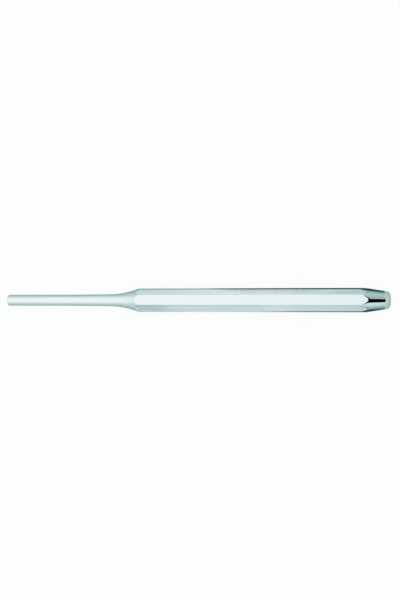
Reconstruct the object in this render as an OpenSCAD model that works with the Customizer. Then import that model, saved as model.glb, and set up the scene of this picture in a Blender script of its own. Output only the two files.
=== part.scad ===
// Pin punch, turned and ground from one length of octagonal steel bar, then plated.
// It lies along X on one of its flats, with the driving pin at -X and the struck end at +X.
// The origin is on the surface that it lies on, under the middle of its length.

/* [Bar] */
// Overall length, from the pin's face to the top of the crown
overall_len = 165; // [150:1:200]
// Width of the octagonal bar across its flats
across_flats = 10; // [9:0.5:14]
// How far the long corners of the bar are rounded off
corner_loss = 0.06; // [0.02:0.01:0.2]

/* [Driving pin] */
// Diameter of the parallel stretch that enters the hole
pin_d = 4.9; // [3:0.1:6]
// Length of the parallel stretch
pin_parallel_len = 25; // [10:1:40]
// Length of the whole pin, from its face to the start of the neck
pin_len = 46; // [42:1:60]
// How much thicker the pin is at its root than in its parallel stretch
pin_root_gain = 0.35; // [0.1:0.05:0.6]
// Radius that breaks the edge of the pin's face
pin_edge_r = 0.35; // [0.1:0.05:0.8]

/* [Neck] */
// Radius of the hollow that sweeps from the pin out to the bar
neck_r = 38; // [25:1:60]

/* [Struck end] */
// Diameter where the taper meets the crown's rounded edge
head_d = 7.4; // [6:0.1:8.5]
// Length over which the taper narrows from the flats to that diameter
taper_len = 8.1; // [5:0.1:14]
// Radius of the crown that the hammer strikes
crown_r = 12; // [9:0.5:30]
// Radius between the taper and the crown
crown_edge_r = 1.5; // [0.8:0.1:2.5]

/* [Hidden] */

$fn = 128;

// The bar has eight flats, and its sharp corners would reach corner_r
flats = 8;
flat_r = across_flats / 2;
corner_r = flat_r / cos(180 / flats);

// How far shapes pass outside the metal that they cut
overrun = 1;
blank_r = corner_r + overrun;

// How far a rounding's arc laps over the lines that it joins, so that they cross each other
arc_lap = 0.001;

// The pin: its face, the end of its parallel stretch, its root, and the rounding of its edge
pin_r = pin_d / 2;
pin_face_x = -overall_len / 2;
parallel_end_x = pin_face_x + pin_parallel_len;
neck_start_x = pin_face_x + pin_len;
pin_root_r = pin_r + pin_root_gain / 2;
root_slope = (pin_root_r - pin_r) / (neck_start_x - parallel_end_x);
pin_round_depth = pin_edge_r - arc_lap;
pin_round_centre = [pin_face_x + pin_round_depth, pin_r - pin_round_depth];

// The pin's line runs on this far past its root, and the circle of the neck cuts it back there
neck_lead = neck_r * root_slope;

// The taper leans in by this angle, and the crown is a sphere about the axis
head_r = head_d / 2;
taper_angle = atan((flat_r - head_r) / taper_len);
crown_top_x = overall_len / 2;
crown_centre = [crown_top_x - crown_r, 0];

// The rounding touches the taper at head_r, and the crown where its ray leaves the crown's centre
crown_round_depth = crown_edge_r - arc_lap;
round_centre_r = head_r - crown_round_depth * cos(taper_angle);
crown_angle = asin(round_centre_r / (crown_r - crown_round_depth));
round_centre_x = crown_centre[0] + (crown_r - crown_round_depth) * cos(crown_angle);
taper_end_x = round_centre_x + crown_round_depth * sin(taper_angle);

// Radius of the taper's line at a place along the punch
function taper_r(x) = head_r + (taper_end_x - x) * tan(taper_angle);

// Place along the punch where the taper's line has a given radius
function taper_x(r) = taper_end_x - (r - head_r) / tan(taper_angle);

// A point at a distance from [0, 0] in a direction
function ray(distance, angle) = [distance * cos(angle), distance * sin(angle)];

// Section of the bar: two crossed squares leave an octagon, and a circle takes its sharp corners
module bar_section() {
    intersection() {
        square(across_flats, center = true);
        rotate(360 / flats)
            square(across_flats, center = true);
        circle(r = corner_r - corner_loss);
    }
}

// Half section of the straight lines that the lathe follows, before anything is rounded
module straight_profile() {
    polygon([
        [pin_face_x, 0],
        [crown_top_x + overrun, 0],
        [crown_top_x + overrun, taper_r(crown_top_x + overrun)],
        [taper_x(blank_r), blank_r],
        [neck_start_x + neck_lead, blank_r],
        [neck_start_x + neck_lead, pin_root_r + neck_lead * root_slope],
        [parallel_end_x, pin_r],
        [pin_face_x, pin_r]
    ]);
}

// What a rounding takes off a corner: the metal past its arc, between two rays from its centre
module past_rounding(centre, r, from, to) {
    reach = 2 * r / cos((to - from) / 2);
    translate(centre)
        difference() {
            polygon([[0, 0], ray(reach, from), ray(reach, to)]);
            circle(r = r);
        }
}

// What lies past the crown's sphere
module past_crown() {
    translate(crown_centre)
        difference() {
            translate([0, -overrun])
                square([crown_r + 2 * overrun, blank_r + 2 * overrun]);
            circle(r = crown_r);
        }
}

// Half section of the turned punch: arcs cut the pin's edge, the neck, the crown and its edge
module turned_profile() {
    difference() {
        straight_profile();
        past_rounding(pin_round_centre, pin_edge_r, 90, 180);
        translate([neck_start_x, pin_root_r + neck_r])
            circle(r = neck_r);
        past_crown();
        past_rounding([round_centre_x, round_centre_r], crown_edge_r, crown_angle, 90 - taper_angle);
    }
}

// Everything that the lathe leaves, as one body turned about the X axis
module turned_form() {
    rotate([0, 90, 0])
        rotate_extrude()
            mirror([1, -1])
                turned_profile();
}

// The bar before turning, with its ends beyond the finished punch
module bar_stock() {
    translate([pin_face_x - overrun, 0, 0])
        rotate([0, 90, 0])
            linear_extrude(overall_len + 2 * overrun)
                bar_section();
}

// The punch is what bar and turned form share, so each flat runs out in a scallop at both ends
module punch() {
    color("silver")
        translate([0, 0, flat_r])
            intersection() {
                bar_stock();
                turned_form();
            }
}

punch();
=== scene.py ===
import math

import bpy
from mathutils import Matrix, Vector


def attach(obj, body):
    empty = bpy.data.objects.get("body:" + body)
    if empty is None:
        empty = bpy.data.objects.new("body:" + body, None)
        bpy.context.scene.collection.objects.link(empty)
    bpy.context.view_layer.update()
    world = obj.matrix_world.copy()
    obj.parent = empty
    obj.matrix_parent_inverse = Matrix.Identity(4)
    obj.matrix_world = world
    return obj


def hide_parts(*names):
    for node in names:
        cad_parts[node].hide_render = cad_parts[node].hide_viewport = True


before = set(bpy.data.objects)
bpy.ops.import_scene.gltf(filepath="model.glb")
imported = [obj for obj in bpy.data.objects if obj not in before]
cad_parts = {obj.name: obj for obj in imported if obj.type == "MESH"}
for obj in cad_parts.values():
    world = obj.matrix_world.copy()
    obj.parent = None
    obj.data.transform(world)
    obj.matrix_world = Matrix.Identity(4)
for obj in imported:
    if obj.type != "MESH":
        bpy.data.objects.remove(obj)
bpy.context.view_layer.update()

# The camera hangs a little over a hand's span above the punch, over its struck half.
# So the near end comes out larger, and each flat is seen from a slightly different side.
eye = Vector((0.0375, -0.0088, 0.255))
aim = Vector((0.00367, 0.000093, 0.005))
roll = 0.0045
picture_width = 400
focal_pixels = 590

sight = (aim - eye).normalized()
right = sight.cross(Vector((0, 1, 0))).normalized()
up = right.cross(sight)
right, up = (right * math.cos(roll) + up * math.sin(roll),
             up * math.cos(roll) - right * math.sin(roll))
lens = bpy.data.cameras.new("camera")
lens.sensor_fit = "HORIZONTAL"
lens.sensor_width = 36
lens.lens = focal_pixels * lens.sensor_width / picture_width
lens.clip_start = 0.01
lens.clip_end = 20
camera = bpy.data.objects.new("camera", lens)
camera.matrix_world = Matrix.Translation(eye) @ Matrix((right, up, -sight)).transposed().to_4x4()
bpy.context.scene.collection.objects.link(camera)
bpy.context.scene.camera = camera


# The punch is one length of octagonal tool steel bar, plated after it was turned.
# The lathe leaves a round pin, a hollow neck and a taper, and every flat of the bar runs out
# in a scallop into the neck and the taper. The struck end is ground bare after plating.
mm = 0.001
across_flats = 10 * mm
corner_r = 1.5 * mm
top_corner_r = 0.25 * mm
overall_len = 165 * mm
pin_d = 4.9 * mm
pin_parallel_len = 25 * mm
pin_len = 46 * mm
pin_root_gain = 0.35 * mm
pin_edge_r = 0.35 * mm
neck_r = 38 * mm
head_d = 7.4 * mm
taper_len = 8.1 * mm
crown_r = 12 * mm
crown_edge_r = 1.5 * mm
bare_len = 2.65 * mm

# By the bar the neck was turned a little above its centre. Polishing has softened the edges
# of the scallops over a narrow band, and has taken a sixth of its width off the edge itself.
neck_offset = 0.2 * mm
neck_softening = 0.15 * mm
taper_softening = 0.22 * mm

# Where one form of the punch ends and the next begins, worked out from those sizes
flat_r = across_flats / 2
pin_face_x = -overall_len / 2
crown_top_x = overall_len / 2
parallel_end_x = pin_face_x + pin_parallel_len
neck_start_x = pin_face_x + pin_len
root_r = (pin_d + pin_root_gain) / 2
lean = math.atan((flat_r - head_d / 2) / taper_len)
round_centre_r = head_d / 2 - crown_edge_r * math.cos(lean)
crown_angle = math.asin(round_centre_r / (crown_r - crown_edge_r))
round_centre_x = crown_top_x - crown_r + (crown_r - crown_edge_r) * math.cos(crown_angle)
taper_end_x = round_centre_x + crown_edge_r * math.sin(lean)
bare_x = crown_top_x - bare_len
bare_r = head_d / 2 + (taper_end_x - bare_x) * math.tan(lean)

# The bar has eight flats, and half_turn is half the angle from one to the next
flats = 8
half_turn = math.pi / flats

# Rings of the mesh in each form, from the middle of the pin's face to the top of the crown,
# and its columns round each corner and across each flat
rings = {"face": 5, "pin edge": 8, "pin": 6, "root": 6, "neck": 44, "bar": 30, "taper": 18,
         "bare": 5, "crown edge": 12, "crown": 12}
corner_columns = 6
flat_columns = 14


def add(tree, kind, inputs=(), **settings):
    """Adds a node with its settings, and fills or links its inputs, in order or by name."""
    node = tree.nodes.new(kind)
    for name, value in settings.items():
        setattr(node, name, value)
    for key, value in inputs.items() if isinstance(inputs, dict) else enumerate(inputs):
        if isinstance(value, bpy.types.Node):
            value = value.outputs[0]
        if isinstance(value, bpy.types.NodeSocket):
            tree.links.new(value, node.inputs[key])
        elif value is not None:
            node.inputs[key].default_value = value
    return node


def linear(code):
    """An sRGB hex colour as the linear colour that a shader takes."""
    parts = [int(code[i:i + 2], 16) / 255 for i in (1, 3, 5)]
    return [p / 12.92 if p <= 0.04045 else ((p + 0.055) / 1.055) ** 2.4 for p in parts] + [1]


# Bright chrome plate over a bar that was polished along its length. It mirrors the room a
# little blurred, drawn out across the fine lines that the polishing belt has left. Where the
# belt pressed unevenly there are slow waves too, and cloudy places that shine a little less.
# The lines are 0.03 mm apart on the real one, and drawn at 0.3 mm so that they show.
line_length, line_spacing, line_depth = 30 * mm, 0.3 * mm, 0.0004 * mm
wave_length, wave_spacing, wave_depth = 45 * mm, 1.6 * mm, 0.012 * mm
cloud_width = 14 * mm
plate_dark, plate_light = linear("#e3ebeb"), linear("#edf3f3")
chrome = bpy.data.materials.new("bright_chrome_plate")
chrome.use_nodes = True
tree = chrome.node_tree
tree.nodes.clear()
place = add(tree, "ShaderNodeTexCoord").outputs["Object"]
along = add(tree, "ShaderNodeMapping",
            {"Vector": place, "Scale": (1 / line_length, 1 / line_spacing, 1 / line_spacing)})
lines = add(tree, "ShaderNodeTexNoise",
            {"Vector": along, "Scale": 1, "Detail": 3, "Roughness": 0.6})
sway = add(tree, "ShaderNodeMapping",
           {"Vector": place, "Scale": (1 / wave_length, 1 / wave_spacing, 1 / wave_spacing)})
waves = add(tree, "ShaderNodeTexNoise", {"Vector": sway, "Scale": 1, "Detail": 1})
cloud = add(tree, "ShaderNodeTexNoise", {"Vector": place, "Scale": 1 / cloud_width, "Detail": 2})
both = add(tree, "ShaderNodeMath", (lines, cloud), operation="ADD")
shine = add(tree, "ShaderNodeMapRange",
            {"Value": both, "From Min": 0.7, "From Max": 1.3, "To Min": 0.04, "To Max": 0.09})
tint = add(tree, "ShaderNodeMix", {"Factor": lines, "A": plate_dark, "B": plate_light},
           data_type="RGBA")
wavy = add(tree, "ShaderNodeBump", {"Height": waves, "Strength": 1, "Distance": wave_depth})
bump = add(tree, "ShaderNodeBump",
           {"Height": lines, "Strength": 1, "Distance": line_depth, "Normal": wavy})
surface = add(tree, "ShaderNodeBsdfPrincipled",
              {"Base Color": tint.outputs["Result"], "Metallic": 1, "Roughness": shine,
               "Normal": bump})
add(tree, "ShaderNodeOutputMaterial", (surface,))

# Satin chrome plate on the pin and its neck, over a surface that was turned and then linished.
# The plate is the same, but the marks run round the pin and break up what it mirrors.
# The marks are 0.05 mm apart on the real one, and drawn at 0.25 mm so that they show.
mark_length, mark_spacing, mark_depth = 4 * mm, 0.25 * mm, 0.0003 * mm
satin = bpy.data.materials.new("satin_chrome_plate")
satin.use_nodes = True
tree = satin.node_tree
tree.nodes.clear()
place = add(tree, "ShaderNodeTexCoord").outputs["Object"]
around = add(tree, "ShaderNodeMapping",
             {"Vector": place, "Scale": (1 / mark_spacing, 1 / mark_length, 1 / mark_length)})
marks = add(tree, "ShaderNodeTexNoise",
            {"Vector": around, "Scale": 1, "Detail": 3, "Roughness": 0.6})
shine = add(tree, "ShaderNodeMapRange",
            {"Value": marks, "From Min": 0.3, "From Max": 0.7, "To Min": 0.27, "To Max": 0.33})
tint = add(tree, "ShaderNodeMix", {"Factor": marks, "A": plate_dark, "B": plate_light},
           data_type="RGBA")
bump = add(tree, "ShaderNodeBump", {"Height": marks, "Strength": 1, "Distance": mark_depth})
surface = add(tree, "ShaderNodeBsdfPrincipled",
              {"Base Color": tint.outputs["Result"], "Metallic": 1, "Roughness": shine,
               "Normal": bump})
add(tree, "ShaderNodeOutputMaterial", (surface,))

# Bare steel, ground on a wheel after plating. It is a shade darker and warmer than the plate,
# and a dull film over small pits leaves it half matt. Rings from the grinding run round its
# axis: 0.1 mm apart on the real one, and drawn at 0.3 mm so that they show.
# The crown is a shade darker than the taper beside it, where the hammer has dulled it.
ring_spacing, pit_spacing, pit_depth = 0.3 * mm, 0.4 * mm, 0.01 * mm
crown_fade = 0.3 * mm
steel = bpy.data.materials.new("bare_ground_steel")
steel.use_nodes = True
tree = steel.node_tree
tree.nodes.clear()
place = add(tree, "ShaderNodeTexCoord").outputs["Object"]
centred = add(tree, "ShaderNodeMapping",
              {"Vector": place, "Location": (0, 0, -flat_r), "Scale": (0, 1, 1)})
reach = add(tree, "ShaderNodeVectorMath", (centred,), operation="LENGTH").outputs["Value"]
ring_marks = add(tree, "ShaderNodeTexNoise", {"W": reach, "Scale": 1 / ring_spacing, "Detail": 3},
                 noise_dimensions="1D")
pits = add(tree, "ShaderNodeTexNoise", {"Vector": place, "Scale": 1 / pit_spacing, "Detail": 2})
both = add(tree, "ShaderNodeMath", (ring_marks, pits), operation="ADD")
shine = add(tree, "ShaderNodeMapRange",
            {"Value": both, "From Min": 0.7, "From Max": 1.3, "To Min": 0.68, "To Max": 0.8})
tint = add(tree, "ShaderNodeMix", {"Factor": pits, "A": linear("#ccdad2"), "B": linear("#dae6df")},
           data_type="RGBA")
lengthwise = add(tree, "ShaderNodeSeparateXYZ", (place,)).outputs["X"]
on_crown = add(tree, "ShaderNodeMapRange",
               {"Value": lengthwise, "From Min": taper_end_x - crown_fade,
                "From Max": taper_end_x + crown_fade}, interpolation_type="SMOOTHSTEP")
tint = add(tree, "ShaderNodeMix",
           {"Factor": on_crown, "A": tint.outputs["Result"], "B": linear("#c2d0c7")},
           data_type="RGBA")
bump = add(tree, "ShaderNodeBump", {"Height": both, "Strength": 0.15, "Distance": pit_depth})
surface = add(tree, "ShaderNodeBsdfPrincipled",
              {"Base Color": tint.outputs["Result"], "Metallic": 0.5, "Roughness": shine,
               "Normal": bump})
add(tree, "ShaderNodeOutputMaterial", (surface,))

# The tree that turns the punch: a sheet of rings and columns is wrapped round the axis
tree = bpy.data.node_groups.new("punch_form", "GeometryNodeTree")
tree.interface.new_socket("Geometry", in_out="OUTPUT", socket_type="NodeSocketGeometry")
sizes = {
    "Pin Face": pin_face_x, "Parallel End": parallel_end_x, "Neck Start": neck_start_x,
    "Bare From": bare_x, "Taper End": taper_end_x, "Flat Radius": flat_r, "Pin Radius": pin_d / 2,
    "Root Radius": root_r, "Bare Radius": bare_r, "Head Radius": head_d / 2,
    "Pin Edge Radius": pin_edge_r, "Neck Radius": neck_r, "Crown Edge Radius": crown_edge_r,
    "Crown Radius": crown_r, "Taper Lean": lean, "Crown Angle": crown_angle,
    "Corner Radius": corner_r, "Top Corner Radius": top_corner_r, "Neck Offset": neck_offset,
    "Neck Softening": neck_softening, "Taper Softening": taper_softening,
}
identifiers = {name: tree.interface.new_socket(
    name, in_out="INPUT", socket_type="NodeSocketFloat").identifier for name in sizes}
size = add(tree, "NodeGroupInput").outputs
ring_total = sum(rings.values())
flat_step = corner_columns + flat_columns
grid = add(tree, "GeometryNodeMeshGrid",
           {"Vertices X": flats * flat_step + 1, "Vertices Y": ring_total + 1})
index = add(tree, "GeometryNodeInputIndex")
ring = add(tree, "ShaderNodeMath", (index, ring_total + 1), operation="MODULO")
column_share = add(tree, "ShaderNodeMath", (index, ring_total + 1), operation="DIVIDE")
column = add(tree, "ShaderNodeMath", (column_share,), operation="FLOOR")
flat_share = add(tree, "ShaderNodeMath", (column, flat_step), operation="DIVIDE")
flat_number = add(tree, "ShaderNodeMath", (flat_share,), operation="FLOOR")
flat_column = add(tree, "ShaderNodeMath", (column, flat_step), operation="MODULO")

# The bar's section: each corner has an arc that touches both flats, and each flat is straight
# from there to the next. The top flat comes first, and lies between the corners 0 and 1.
# It was dressed once more than the others, so these two corners are crisper.
top_corners = 2
corners = []
for step in (0, 1):
    number = add(tree, "ShaderNodeMath", (flat_number, step), operation="ADD")
    number = add(tree, "ShaderNodeMath", (number, flats), operation="MODULO")
    at_top = add(tree, "ShaderNodeMath", (number, top_corners - 0.5), operation="LESS_THAN")
    arc_radius = add(tree, "ShaderNodeMix",
                     {"Factor": at_top, "A": size["Corner Radius"], "B": size["Top Corner Radius"]})
    inset = add(tree, "ShaderNodeMath", (size["Flat Radius"], arc_radius), operation="SUBTRACT")
    inset_share = add(tree, "ShaderNodeMath", (inset, size["Flat Radius"]), operation="DIVIDE")
    inset_tangent = add(tree, "ShaderNodeMath", (inset_share, math.tan(half_turn)),
                        operation="MULTIPLY")
    inset_angle = add(tree, "ShaderNodeMath", (inset_tangent,), operation="ARCTANGENT")
    half_angle = add(tree, "ShaderNodeMath", (half_turn, inset_angle), operation="SUBTRACT")
    corners.append((arc_radius, inset, half_angle))
(arc_radius, inset, half_angle), (_, _, next_half_angle) = corners
arc_centre = add(tree, "ShaderNodeMath", (inset, math.cos(half_turn)), operation="DIVIDE")
low_half = add(tree, "ShaderNodeMath", (half_angle, -1), operation="MULTIPLY")
on_arc = add(tree, "ShaderNodeMapRange",
             {"Value": flat_column, "From Min": 0, "From Max": corner_columns, "To Min": low_half,
              "To Max": half_angle})
flat_turn = add(tree, "ShaderNodeMath", (2 * half_turn, half_angle), operation="SUBTRACT")
flat_turn = add(tree, "ShaderNodeMath", (flat_turn, next_half_angle), operation="SUBTRACT")
on_flat = add(tree, "ShaderNodeMapRange", {"Value": flat_column, "From Min": corner_columns,
                                           "From Max": flat_step, "To Min": 0, "To Max": flat_turn})
from_corner = add(tree, "ShaderNodeMath", (on_arc, on_flat), operation="ADD")
from_middle = add(tree, "ShaderNodeMath", (from_corner, half_turn), operation="SUBTRACT")
middle_cosine = add(tree, "ShaderNodeMath", (from_middle,), operation="COSINE")
flat_reach = add(tree, "ShaderNodeMath", (size["Flat Radius"], middle_cosine), operation="DIVIDE")
arc_cosine = add(tree, "ShaderNodeMath", (on_arc,), operation="COSINE")
arc_sine = add(tree, "ShaderNodeMath", (on_arc,), operation="SINE")
centre_along = add(tree, "ShaderNodeMath", (arc_centre, arc_cosine), operation="MULTIPLY")
centre_across = add(tree, "ShaderNodeMath", (arc_centre, arc_sine), operation="MULTIPLY")
across_squared = add(tree, "ShaderNodeMath", (centre_across, 2), operation="POWER")
radius_squared = add(tree, "ShaderNodeMath", (arc_radius, 2), operation="POWER")
rest_squared = add(tree, "ShaderNodeMath", (radius_squared, across_squared), operation="SUBTRACT")
rest = add(tree, "ShaderNodeMath", (rest_squared,), operation="SQRT")
arc_reach = add(tree, "ShaderNodeMath", (centre_along, rest), operation="ADD")
past_arc = add(tree, "ShaderNodeMath", (flat_column, corner_columns), operation="GREATER_THAN")
bar_reach = add(tree, "ShaderNodeMix", {"Factor": past_arc, "A": arc_reach, "B": flat_reach})

# Each flat's scallops: the neck's arc stops where it reaches the bar, and so does the taper.
# The neck lies higher by its offset there, so the top flat runs further into it.
turn = add(tree, "ShaderNodeMath", (flat_number, 2 * half_turn, from_middle),
           operation="MULTIPLY_ADD")
turn_sine = add(tree, "ShaderNodeMath", (turn,), operation="SINE")
turn_cosine = add(tree, "ShaderNodeMath", (turn,), operation="COSINE")
raised = add(tree, "ShaderNodeMath", (size["Neck Offset"], turn_cosine), operation="MULTIPLY")
met_reach = add(tree, "ShaderNodeMath", (bar_reach, raised), operation="SUBTRACT")
neck_rise = add(tree, "ShaderNodeMath", (met_reach, size["Root Radius"]), operation="SUBTRACT")
rise_share = add(tree, "ShaderNodeMath", (neck_rise, size["Neck Radius"]), operation="DIVIDE")
neck_cosine = add(tree, "ShaderNodeMath", (1, rise_share), operation="SUBTRACT")
neck_swing = add(tree, "ShaderNodeMath", (neck_cosine,), operation="ARCCOSINE")
neck_end_angle = add(tree, "ShaderNodeMath", (neck_swing, 1.5 * math.pi), operation="ADD")
neck_sine = add(tree, "ShaderNodeMath", (neck_swing,), operation="SINE")
bar_start = add(tree, "ShaderNodeMath", (neck_sine, size["Neck Radius"], size["Neck Start"]),
                operation="MULTIPLY_ADD")
lean_tangent = add(tree, "ShaderNodeMath", (size["Taper Lean"],), operation="TANGENT")
fall = add(tree, "ShaderNodeMath", (bar_reach, size["Head Radius"]), operation="SUBTRACT")
taper_run = add(tree, "ShaderNodeMath", (fall, lean_tangent), operation="DIVIDE")
bar_end = add(tree, "ShaderNodeMath", (size["Taper End"], taper_run), operation="SUBTRACT")
pin_start = add(tree, "ShaderNodeMath", (size["Pin Face"], size["Pin Edge Radius"]),
                operation="ADD")
face_reach = add(tree, "ShaderNodeMath", (size["Pin Radius"], size["Pin Edge Radius"]),
                 operation="SUBTRACT")
taper_start_angle = add(tree, "ShaderNodeMath", (math.pi / 2, size["Taper Lean"]),
                        operation="SUBTRACT")

# Every form adds its own step along the punch and out from the axis, once its rings are reached.
# The neck's offset grows along it, from nothing at the pin.
forms = {
    "face": ("line", size["Pin Face"], size["Pin Face"], 0, face_reach),
    "pin edge": ("arc", size["Pin Edge Radius"], math.pi, math.pi / 2),
    "pin": ("line", pin_start, size["Parallel End"], size["Pin Radius"], size["Pin Radius"]),
    "root": ("line", size["Parallel End"], size["Neck Start"], size["Pin Radius"],
             size["Root Radius"]),
    "neck": ("arc", size["Neck Radius"], 1.5 * math.pi, neck_end_angle),
    "bar": ("line", bar_start, bar_end, bar_reach, bar_reach),
    "taper": ("line", bar_end, size["Bare From"], bar_reach, size["Bare Radius"]),
    "bare": ("line", size["Bare From"], size["Taper End"], size["Bare Radius"],
             size["Head Radius"]),
    "crown edge": ("arc", size["Crown Edge Radius"], taper_start_angle, size["Crown Angle"]),
    "crown": ("arc", size["Crown Radius"], size["Crown Angle"], 0),
}
crowded_at_ends = ("neck", "bar", "taper", "bare")
reached = add(tree, "ShaderNodeCombineXYZ", (size["Pin Face"],))
first_ring = {}
start = 0
for name, (kind, *measures) in forms.items():
    first_ring[name] = start
    end = start + rings[name]
    share = add(tree, "ShaderNodeMapRange", {"Value": ring, "From Min": start, "From Max": end},
                interpolation_type="SMOOTHERSTEP" if name in crowded_at_ends else "LINEAR")
    if kind == "line":
        ends = [add(tree, "ShaderNodeCombineXYZ", (x, 0, r))
                for x, r in (measures[0::2], measures[1::2])]
        step = add(tree, "ShaderNodeVectorMath", (ends[1], ends[0]), operation="SUBTRACT")
        step = add(tree, "ShaderNodeVectorMath", {0: step, "Scale": share}, operation="SCALE")
    else:
        radius, angle, last_angle = measures
        swing = add(tree, "ShaderNodeMath", (last_angle, angle), operation="SUBTRACT")
        swung = add(tree, "ShaderNodeMath", (share, swing, angle), operation="MULTIPLY_ADD")
        ends = [add(tree, "ShaderNodeCombineXYZ",
                    (add(tree, "ShaderNodeMath", (a,), operation="COSINE"), 0,
                     add(tree, "ShaderNodeMath", (a,), operation="SINE"))) for a in (angle, swung)]
        step = add(tree, "ShaderNodeVectorMath", (ends[1], ends[0]), operation="SUBTRACT")
        step = add(tree, "ShaderNodeVectorMath", {0: step, "Scale": radius}, operation="SCALE")
    reached = add(tree, "ShaderNodeVectorMath", (reached, step), operation="ADD")
    if name == "neck":
        grown = add(tree, "ShaderNodeMath", (share, 2), operation="POWER")
        raised = add(tree, "ShaderNodeMath", (raised, grown), operation="MULTIPLY")
    start = end

# Polishing softens the edges of the scallops, where the bar meets the neck and the taper
profile = add(tree, "ShaderNodeSeparateXYZ", (reached,)).outputs
past_start = add(tree, "ShaderNodeMath", (profile["X"], size["Neck Start"]), operation="SUBTRACT")
past_squared = add(tree, "ShaderNodeMath", (past_start, 2), operation="POWER")
neck_squared = add(tree, "ShaderNodeMath", (size["Neck Radius"], 2), operation="POWER")
drop_squared = add(tree, "ShaderNodeMath", (neck_squared, past_squared), operation="SUBTRACT")
drop = add(tree, "ShaderNodeMath", (drop_squared,), operation="SQRT")
neck_centre = add(tree, "ShaderNodeMath", (size["Root Radius"], size["Neck Radius"]),
                  operation="ADD")
neck_reach = add(tree, "ShaderNodeMath", (neck_centre, drop), operation="SUBTRACT")
neck_reach = add(tree, "ShaderNodeMath", (neck_reach, raised), operation="ADD")
before_end = add(tree, "ShaderNodeMath", (size["Taper End"], profile["X"]), operation="SUBTRACT")
taper_reach = add(tree, "ShaderNodeMath", (before_end, lean_tangent, size["Head Radius"]),
                  operation="MULTIPLY_ADD")
soft_reach = add(tree, "ShaderNodeMath", (bar_reach, neck_reach, size["Neck Softening"]),
                 operation="SMOOTH_MIN")
soft_reach = add(tree, "ShaderNodeMath", (soft_reach, taper_reach, size["Taper Softening"]),
                 operation="SMOOTH_MIN")
reach = add(tree, "ShaderNodeMath", (profile["Z"], raised), operation="ADD")
reach = add(tree, "ShaderNodeMath", (reach, soft_reach), operation="MINIMUM")

# Turned about the axis, with one flat down on the ground, and welded shut along the seam and
# at the middle of both ends
weld_width = 0.0005 * mm
sideways = add(tree, "ShaderNodeMath", (reach, turn_sine), operation="MULTIPLY")
upwards = add(tree, "ShaderNodeMath", (reach, turn_cosine, size["Flat Radius"]),
              operation="MULTIPLY_ADD")
spot = add(tree, "ShaderNodeCombineXYZ", (profile["X"], sideways, upwards))
kept_ring = add(tree, "GeometryNodeCaptureAttribute", {"Geometry": grid.outputs["Mesh"]})
kept_ring.capture_items.new("FLOAT", "ring")
tree.links.new(ring.outputs[0], kept_ring.inputs["ring"])
wrapped = add(tree, "GeometryNodeSetPosition",
              {"Geometry": kept_ring.outputs["Geometry"], "Position": spot})
closed = add(tree, "GeometryNodeMergeByDistance", {"Geometry": wrapped, "Distance": weld_width})
smooth = add(tree, "GeometryNodeSetShadeSmooth", {"Geometry": closed})
result = add(tree, "GeometryNodeRealizeInstances", {"Geometry": smooth})
for material, form in ((satin, "face"), (chrome, "bar"), (steel, "bare")):
    after = add(tree, "ShaderNodeMath", (kept_ring.outputs["ring"], first_ring[form]),
                operation="GREATER_THAN")
    result = add(tree, "GeometryNodeSetMaterial",
                 {"Geometry": result, "Selection": after, "Material": material})
add(tree, "NodeGroupOutput", (result,))

blank = bpy.data.objects.new("punch_blank", bpy.data.meshes.new("punch_blank"))
bpy.context.scene.collection.objects.link(blank)
turning = blank.modifiers.new("turning", "NODES")
turning.node_group = tree
for name, value in sizes.items():
    turning[identifiers[name]] = value
bpy.context.view_layer.update()
body = bpy.data.meshes.new_from_object(blank.evaluated_get(bpy.context.evaluated_depsgraph_get()))
blank.modifiers.remove(turning)
bpy.data.objects.remove(blank)
body.name = "punch_body"
punch = bpy.data.objects.new("punch_body", body)
bpy.context.scene.collection.objects.link(punch)
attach(punch, "root")
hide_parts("punch")

# A sheet of white paper under the punch, far wider than the picture. To the camera and to the
# plate's mirror most of it glows white, so the shadow is faint, as in light from all round.
half_width = 1.5
glow_share = 0.9
ground = bpy.data.materials.new("white_paper")
ground.use_nodes = True
tree = ground.node_tree
tree.nodes.clear()
path = add(tree, "ShaderNodeLightPath").outputs
seen = add(tree, "ShaderNodeMath", (path["Is Camera Ray"], path["Is Glossy Ray"]),
           operation="MAXIMUM")
seen = add(tree, "ShaderNodeMath", (seen, path["Is Transmission Ray"]), operation="MAXIMUM")
share = add(tree, "ShaderNodeMath", (seen, glow_share), operation="MULTIPLY")
paper = add(tree, "ShaderNodeBsdfDiffuse", {"Color": linear("#fcfcfc")})
glow = add(tree, "ShaderNodeEmission", {"Color": linear("#ffffff"), "Strength": 1})
surface = add(tree, "ShaderNodeMixShader", (share, paper, glow))
add(tree, "ShaderNodeOutputMaterial", (surface,))
sheet = bpy.data.meshes.new("floor")
sheet.from_pydata([(-half_width, -half_width, 0), (half_width, -half_width, 0),
                   (half_width, half_width, 0), (-half_width, half_width, 0)], [], [(0, 1, 2, 3)])
sheet.materials.append(ground)
floor = bpy.data.objects.new("floor", sheet)
bpy.context.scene.collection.objects.link(floor)

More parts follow.
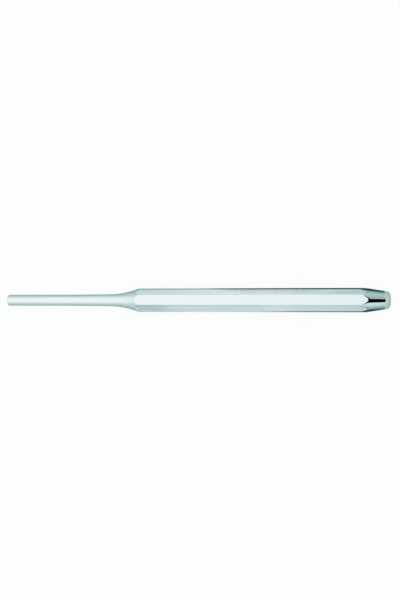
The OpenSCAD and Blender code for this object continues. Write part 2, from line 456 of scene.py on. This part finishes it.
# Flags are cards that only the plate's mirror sees, as a photographer sets them round bright metal.
# They give no light and cast no shadow, so their tones are painted reflection. Five lie beside the
# punch, pale by the pin and dark green by the struck end, and one under it: they draw its edges.
# By the pin and under the punch their tones are also painted shade, the punch's shadow on the paper
# as the plate mirrors it. Two paler cards lie under and beyond them, and two black ones hang
# overhead, past the struck end, where the taper mirrors them. Each has its outline and height in
# metres, and its tones at places along X.
on_paper, under_flags, overhead = 0.0002, 0.0001, 0.8
flags = {
    "flag_far": (
        [(-0.2, 0.022), (0.11, 0.022), (0.15, 0.133), (0.06, 0.134), (0.025, 0.131), (0.004, 0.142),
         (-0.01, 0.122), (-0.2, 0.122)], on_paper,
        {0.002: "#a9c5c0", 0.012: "#3a5855", 0.024: "#0e2a22", 0.045: "#041c16", 0.066: "#041c16",
         0.08: "#3c5a4c", 0.087: "#54746a", 0.098: "#8aa69f"}),
    "flag_between": (
        [(-0.2, 0.0125), (0.098, 0.0125), (0.11, 0.022), (-0.2, 0.022)], on_paper,
        {0.002: "#b4ccc7", 0.014: "#7a9991", 0.03: "#5f7f74", 0.064: "#57776b", 0.08: "#3c5a4c",
         0.087: "#5f7f72", 0.098: "#a9c0b9"}),
    "flag_beside": (
        [(-0.2, 0.0056), (0.086, 0.0056), (0.094, 0.0125), (-0.2, 0.0125)], on_paper,
        {0.002: "#a9c5c0", 0.012: "#3a5855", 0.024: "#0e2a22", 0.045: "#041c16", 0.066: "#041c16",
         0.08: "#3c5a4c", 0.087: "#54746a", 0.095: "#c8d6d0"}),
    "flag_near": (
        [(-0.2, -0.045), (0.07, -0.045), (0.085, -0.07), (0.13, -0.07), (0.098, -0.0125),
         (-0.2, -0.0125)], on_paper,
        {-0.02: "#b4ccc5", 0: "#dce9e3", 0.024: "#dce9e3", 0.05: "#5f7f74", 0.066: "#55756a",
         0.079: "#34524a", 0.085: "#7a978c", 0.098: "#8aa69f"}),
    "flag_near_beside": (
        [(-0.2, -0.0125), (0.094, -0.0125), (0.086, -0.0056), (-0.2, -0.0056)], on_paper,
        {-0.02: "#b4ccc5", 0: "#dce9e3", 0.024: "#dce9e3", 0.05: "#5f7f74", 0.066: "#55756a",
         0.079: "#284c42", 0.085: "#76948a", 0.095: "#c8d6d0"}),
    # Painted shadow: the paper under the punch in its own shade, as the plate mirrors it
    "painted_shadow_under": (
        [(-0.09, -0.0048), (0.087, -0.0048), (0.087, 0.0048), (-0.09, 0.0048)], on_paper,
        {-0.05: "#c4d4cf", 0: "#8fa69f", 0.05: "#7d958d"}),
    # These two cards are painted reflection of the paper farther off, dimming towards the struck
    # end
    "card_far": (
        [(-0.8, 0.1), (0.8, 0.1), (0.8, 1.4), (-0.8, 1.4)], under_flags,
        {-0.06: "#eaf1f1", 0.01: "#ffffff", 0.06: "#eaf3f3", 0.12: "#c4dcdc"}),
    "card_near": (
        [(-0.8, -1.4), (0.8, -1.4), (0.8, -0.05), (-0.8, -0.05)], under_flags,
        {0: "#f0f4f4", 0.12: "#cbdede"}),
    "flag_above": (
        [(0.327, -0.6), (0.45, -0.6), (0.45, 0.4), (0.327, 0.4)], overhead,
        {0: "#000000", 1: "#000000"}),
    "flag_beyond": (
        [(0.44, -0.46), (0.6, -0.42), (0.6, 0.14), (0.44, 0.17)], overhead,
        {0: "#000000", 1: "#000000"}),
}
for name, (outline, level, stops) in flags.items():
    card = bpy.data.materials.new(name)
    card.use_nodes = True
    tree = card.node_tree
    tree.nodes.clear()
    place = add(tree, "ShaderNodeTexCoord").outputs["Object"]
    lengthwise = add(tree, "ShaderNodeSeparateXYZ", (place,)).outputs["X"]
    first, last = min(stops), max(stops)
    share = add(tree, "ShaderNodeMapRange",
                {"Value": lengthwise, "From Min": first, "From Max": last})
    fade = add(tree, "ShaderNodeValToRGB", (share,))
    fade.color_ramp.interpolation = "EASE"
    for x in sorted(stops)[1:-1]:
        fade.color_ramp.elements.new((x - first) / (last - first))
    for element, x in zip(fade.color_ramp.elements, sorted(stops)):
        element.color = linear(stops[x])
    surface = add(tree, "ShaderNodeBsdfDiffuse", {"Color": fade})
    add(tree, "ShaderNodeOutputMaterial", (surface,))
    board = bpy.data.meshes.new(name)
    board.from_pydata([(x, y, level) for x, y in outline], [], [range(len(outline))])
    board.materials.append(card)
    flag = bpy.data.objects.new(name, board)
    flag.visible_camera = flag.visible_diffuse = False
    flag.visible_transmission = flag.visible_shadow = False
    bpy.context.scene.collection.objects.link(flag)

# The room is a tent of pale grey green cloth, lightest overhead. It has a shaded seam low on the
# near side and a dark skirting past the struck end, where it also dims, most on the far side.
# Places on it are directions seen from the punch, and a shade is the share of light that is left.
tent_strength = 1.07
seam_shade = (0.82, 0.86, 0.87, 1)
near_shade, far_shade = (0.83, 0.86, 0.88, 1), (0.42, 0.53, 0.51, 1)
far_wall_shade = (0.66, 0.8, 0.78, 1)
skirting_shade, skirting_end_shade = (0.2, 0.3, 0.3, 1), (0.75, 0.86, 0.85, 1)
world = bpy.data.worlds.new("tent")
bpy.context.scene.world = world
world.use_nodes = True
tree = world.node_tree
tree.nodes.clear()
ray = add(tree, "ShaderNodeTexCoord").outputs["Generated"]
towards = add(tree, "ShaderNodeSeparateXYZ", (ray,)).outputs
folds = {-0.3: "#b4cdd0", -0.205: "#b8d0d3", -0.178: "#d7e3e2", -0.04: "#d3e2e1", 0: "#dfe8e9",
         0.05: "#d3e2e1", 0.08: "#d4e1e1", 0.15: "#c0d9dc"}
across = add(tree, "ShaderNodeMapRange",
             {"Value": towards["X"], "From Min": min(folds), "From Max": max(folds)})
wall = add(tree, "ShaderNodeValToRGB", (across,))
fold_share = {(x - min(folds)) / (max(folds) - min(folds)): code for x, code in folds.items()}
for share in sorted(fold_share)[1:-1]:
    wall.color_ramp.elements.new(share)
for element, share in zip(wall.color_ramp.elements, sorted(fold_share)):
    element.color = linear(fold_share[share])
dusk = add(tree, "ShaderNodeMapRange", {"Value": towards["X"], "From Min": -0.3, "From Max": 0.2})
roof = add(tree, "ShaderNodeMix", {"Factor": dusk, "A": linear("#ffffff"), "B": linear("#f1f7f8")},
           data_type="RGBA")
lift = add(tree, "ShaderNodeMapRange", {"Value": towards["Z"], "From Min": 0.03, "From Max": 0.85},
           interpolation_type="SMOOTHSTEP")
cloth = add(tree, "ShaderNodeMix", {"Factor": lift, "A": wall, "B": roof.outputs["Result"]},
            data_type="RGBA")
low = add(tree, "ShaderNodeMapRange", {"Value": towards["Z"], "From Min": 0.02, "From Max": 0.032})
high = add(tree, "ShaderNodeMapRange", {"Value": towards["Z"], "From Min": 0.06, "From Max": 0.35,
                                        "To Min": 1, "To Max": 0})
near_side = add(tree, "ShaderNodeMapRange",
                {"Value": towards["Y"], "From Min": 0, "From Max": -0.4})
seam = add(tree, "ShaderNodeMath", (low, high), operation="MULTIPLY")
seam = add(tree, "ShaderNodeMath", (seam, near_side), operation="MULTIPLY")
cloth = add(tree, "ShaderNodeMix", {"Factor": seam, "A": cloth.outputs["Result"], "B": seam_shade},
            data_type="RGBA", blend_type="MULTIPLY")
past_flag = add(tree, "ShaderNodeMapRange",
                {"Value": towards["X"], "From Min": 0.28, "From Max": 0.4},
                interpolation_type="SMOOTHSTEP")
before_edge = add(tree, "ShaderNodeMapRange",
                  {"Value": towards["X"], "From Min": 0.5, "From Max": 0.62, "To Min": 1,
                   "To Max": 0}, interpolation_type="SMOOTHSTEP")
past_flag = add(tree, "ShaderNodeMath", (past_flag, before_edge), operation="MULTIPLY")
far_side = add(tree, "ShaderNodeMapRange",
               {"Value": towards["Y"], "From Min": -0.25, "From Max": 0.1})
shade = add(tree, "ShaderNodeMix", {"Factor": far_side, "A": near_shade, "B": far_shade},
            data_type="RGBA")
far_wall = add(tree, "ShaderNodeMapRange",
               {"Value": towards["Y"], "From Min": 0.45, "From Max": 0.9})
shade = add(tree, "ShaderNodeMix",
            {"Factor": far_wall, "A": shade.outputs["Result"], "B": far_wall_shade},
            data_type="RGBA")
cloth = add(tree, "ShaderNodeMix",
            {"Factor": past_flag, "A": cloth.outputs["Result"], "B": shade.outputs["Result"]},
            data_type="RGBA", blend_type="MULTIPLY")
skirting = add(tree, "ShaderNodeMapRange",
               {"Value": towards["X"], "From Min": 0.18, "From Max": 0.24})
past_skirting = add(tree, "ShaderNodeMapRange",
                    {"Value": towards["X"], "From Min": 0.3, "From Max": 0.35})
skirting_top = add(tree, "ShaderNodeMapRange",
                   {"Value": towards["Z"], "From Min": 0.08, "From Max": 0.25, "To Min": 1,
                    "To Max": 0}, interpolation_type="SMOOTHSTEP")
skirting = add(tree, "ShaderNodeMath", (skirting, skirting_top), operation="MULTIPLY")
shade = add(tree, "ShaderNodeMix",
            {"Factor": past_skirting, "A": skirting_shade, "B": skirting_end_shade},
            data_type="RGBA")
cloth = add(tree, "ShaderNodeMix",
            {"Factor": skirting, "A": cloth.outputs["Result"], "B": shade.outputs["Result"]},
            data_type="RGBA", blend_type="MULTIPLY")
path = add(tree, "ShaderNodeLightPath").outputs
shown = add(tree, "ShaderNodeMix", {"Factor": path["Is Camera Ray"], "A": cloth.outputs["Result"],
                                    "B": linear("#ffffff")}, data_type="RGBA")
glow = add(tree, "ShaderNodeBackground",
           {"Color": shown.outputs["Result"], "Strength": tent_strength})
add(tree, "ShaderNodeOutputWorld", (glow,))

bpy.context.scene.view_settings.view_transform = "Standard"
